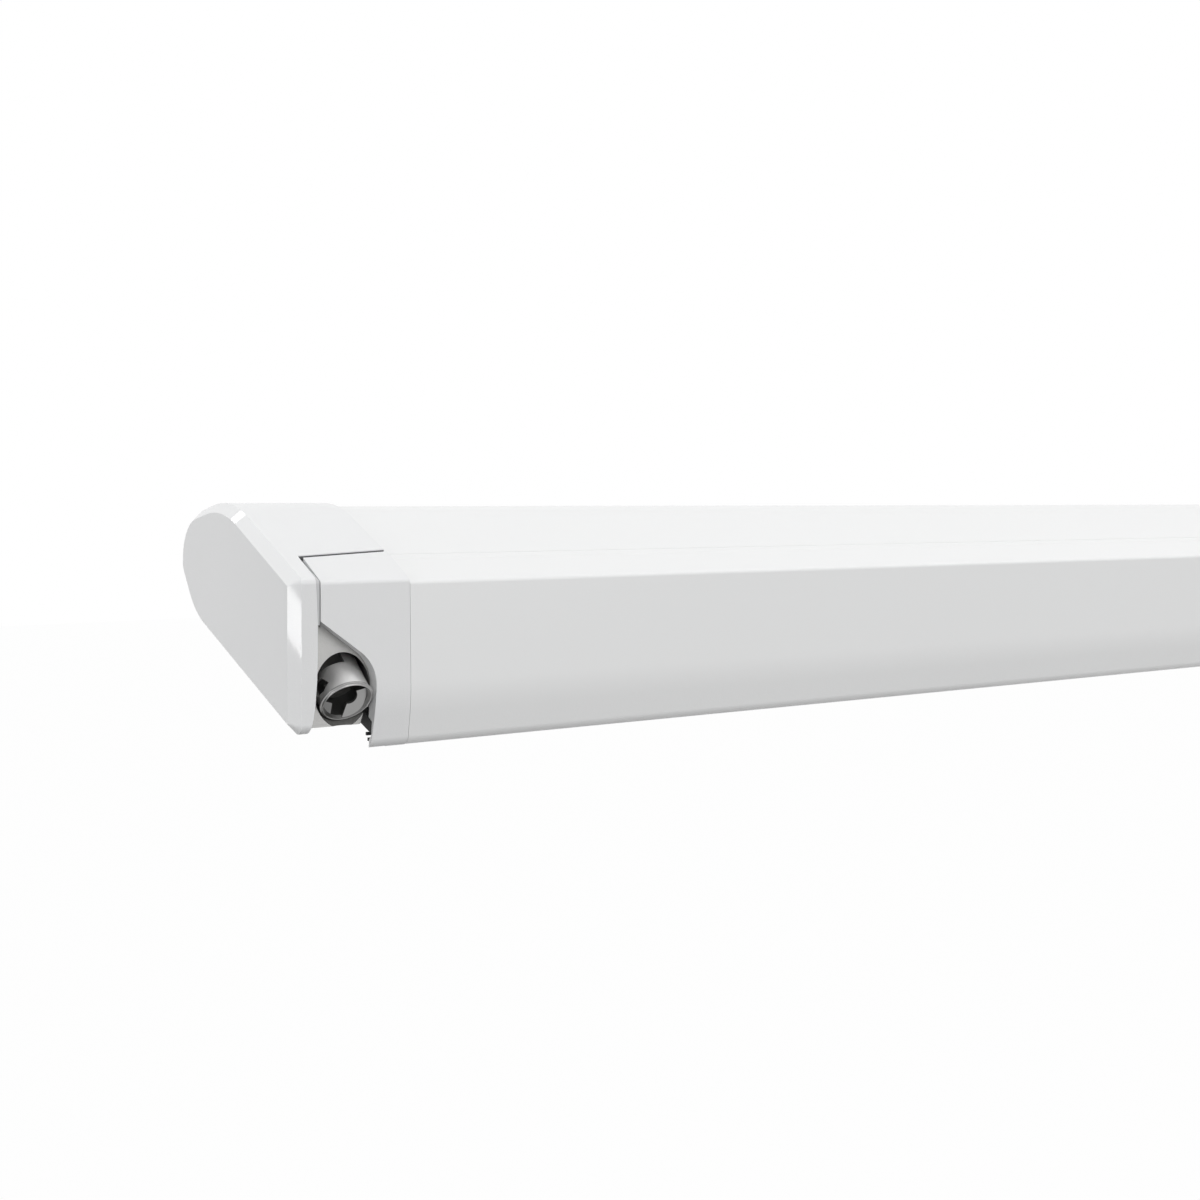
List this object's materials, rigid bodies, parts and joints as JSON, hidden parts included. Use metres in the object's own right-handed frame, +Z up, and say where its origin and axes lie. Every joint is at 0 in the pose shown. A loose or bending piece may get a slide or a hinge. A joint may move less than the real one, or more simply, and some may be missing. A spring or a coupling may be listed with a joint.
{
  "type": "roll out awning",
  "caption": "Cassette awning for a camper: white housing with a wound cloth roller, folding arms, lead rail with drop-down legs and a tilted crank socket behind a cut-out at the left end.",
  "frame": {"origin": "middle of the flat mounting strip on the back of the cassette", "axes": "+X along the awning to the right seen from the front, +Y into the vehicle, +Z up"},
  "size_m": [2.6, 0.1691, 0.1252],
  "materials": {
    "coated_alloy": "white powder coat, satin",
    "cap_plastic": "white moulded plastic, fine grain",
    "cast_alloy": "satin die-cast alloy",
    "mill_alloy": "satin anodised tube",
    "steel": "satin zinc plated",
    "rubber": "matte black",
    "dark_plastic": "black moulded plastic",
    "grey_plastic": "grey moulded plastic",
    "cloth": "coated awning cloth, plain weave",
    "bronze": "machined"
  },
  "bodies": {
    "cassette": {"cassette_housing": "coated_alloy", "left_end_cap": "cap_plastic", "right_end_cap": "cap_plastic", "end_cap_screws": "steel", "cassette_seal": "rubber", "left_shoulder_bracket": "cast_alloy", "right_shoulder_bracket": "cast_alloy", "shoulder_pins": "steel", "roller_bushes": "dark_plastic", "bracket_screws": "steel", "gearbox_housing": "cast_alloy", "gearbox_screws": "steel", "cloth_web": "cloth"},
    "crank": {"crank_socket": "steel", "crank_worm": "steel"},
    "roller": {"roller_tube": "mill_alloy", "left_roller_plug": "grey_plastic", "right_roller_plug": "grey_plastic", "worm_wheel": "bronze", "cloth_roll": "cloth"},
    "cloth_front": {"cloth_hem": "cloth"},
    "left_inner_link": {"left_inner_arm": "coated_alloy", "left_shoulder_knuckle": "cast_alloy", "left_elbow_fork": "cast_alloy", "left_elbow_pin": "steel", "left_arm_spring": "steel"},
    "left_fore_link": {"left_forearm": "coated_alloy", "left_elbow_knuckle": "cast_alloy", "left_wrist_knuckle": "cast_alloy"},
    "right_inner_link": {"right_inner_arm": "coated_alloy", "right_shoulder_knuckle": "cast_alloy", "right_elbow_fork": "cast_alloy", "right_elbow_pin": "steel", "right_arm_spring": "steel"},
    "right_fore_link": {"right_forearm": "coated_alloy", "right_elbow_knuckle": "cast_alloy", "right_wrist_knuckle": "cast_alloy"},
    "front_rail": {"lead_rail": "coated_alloy", "left_rail_cap": "cap_plastic", "right_rail_cap": "cap_plastic", "cloth_keder": "cloth", "rail_gasket": "rubber", "left_wrist_bracket": "cast_alloy", "right_wrist_bracket": "cast_alloy", "wrist_pins": "steel", "wrist_screws": "steel", "leg_hinges": "grey_plastic", "leg_pins": "steel"},
    "left_leg": {"left_leg_knuckle": "grey_plastic", "left_leg_tube": "mill_alloy", "left_leg_collar": "dark_plastic"},
    "left_leg_draw": {"left_leg_inner": "mill_alloy", "left_leg_foot": "dark_plastic"},
    "right_leg": {"right_leg_knuckle": "grey_plastic", "right_leg_tube": "mill_alloy", "right_leg_collar": "dark_plastic"},
    "right_leg_draw": {"right_leg_inner": "mill_alloy", "right_leg_foot": "dark_plastic"}
  },
  "joints": [
    {"name": "roll_out", "type": "hinge", "parent": "cassette", "child": "left_inner_link", "pos_m": [-1.19, -0.085, -0.025], "axis": [0, 0, -1], "range_deg": [0, 65]},
    {"name": "left_elbow", "type": "hinge", "parent": "left_inner_link", "child": "left_fore_link", "pos_m": [-0.09, -0.1, -0.025], "axis": [0, 0, 1], "range_deg": [0, 130]},
    {"name": "left_wrist", "type": "hinge", "parent": "left_fore_link", "child": "front_rail", "pos_m": [-1.19, -0.115, -0.025], "axis": [0, 0, -1], "range_deg": [0, 65]},
    {"name": "right_shoulder", "type": "hinge", "parent": "cassette", "child": "right_inner_link", "pos_m": [1.19, -0.085, -0.025], "axis": [0, 0, 1], "range_deg": [0, 65]},
    {"name": "right_elbow", "type": "hinge", "parent": "right_inner_link", "child": "right_fore_link", "pos_m": [0.09, -0.1, -0.025], "axis": [0, 0, -1], "range_deg": [0, 130]},
    {"name": "roller_turn", "type": "hinge", "parent": "cassette", "child": "roller", "pos_m": [0, -0.04, -0.002], "axis": [1, 0, 0], "range_deg": [0, 4680]},
    {"name": "crank_turn", "type": "hinge", "parent": "cassette", "child": "crank", "pos_m": [-1.269, -0.1611, -0.0664], "axis": [0, -0.7986, -0.6018], "range_deg": [0, 37440]},
    {"name": "cloth_run", "type": "slide", "parent": "cassette", "child": "cloth_front", "axis": [0, -1, 0], "range_m": [0, 1.97656], "deforming": ["cloth_web"]},
    {"name": "left_leg_swing", "type": "hinge", "parent": "front_rail", "child": "left_leg", "pos_m": [-1.2, -0.1505, -0.066], "axis": [0, 1, 0], "range_deg": [0, 90]},
    {"name": "left_leg_extend", "type": "slide", "parent": "left_leg", "child": "left_leg_draw", "axis": [1, 0, 0], "range_m": [0, 0.9]},
    {"name": "right_leg_swing", "type": "hinge", "parent": "front_rail", "child": "right_leg", "pos_m": [1.2, -0.1505, -0.066], "axis": [0, -1, 0], "range_deg": [0, 90]},
    {"name": "right_leg_extend", "type": "slide", "parent": "right_leg", "child": "right_leg_draw", "axis": [-1, 0, 0], "range_m": [0, 0.9]}
  ],
  "couplings": [
    {"joint": "left_elbow", "follows": "roll_out", "ratio": 2},
    {"joint": "left_wrist", "follows": "roll_out", "ratio": 1},
    {"joint": "right_shoulder", "follows": "roll_out", "ratio": 1},
    {"joint": "right_elbow", "follows": "roll_out", "ratio": 2},
    {"joint": "roller_turn", "follows": "roll_out", "ratio": 72},
    {"joint": "crank_turn", "follows": "roll_out", "ratio": 576},
    {"joint": "cloth_run", "follows": "roll_out", "m_per_rad": 1.7423},
    {"joint": "left_leg_extend", "follows": "left_leg_swing", "m_per_rad": 0.57296},
    {"joint": "right_leg_extend", "follows": "right_leg_swing", "m_per_rad": 0.57296}
  ]
}
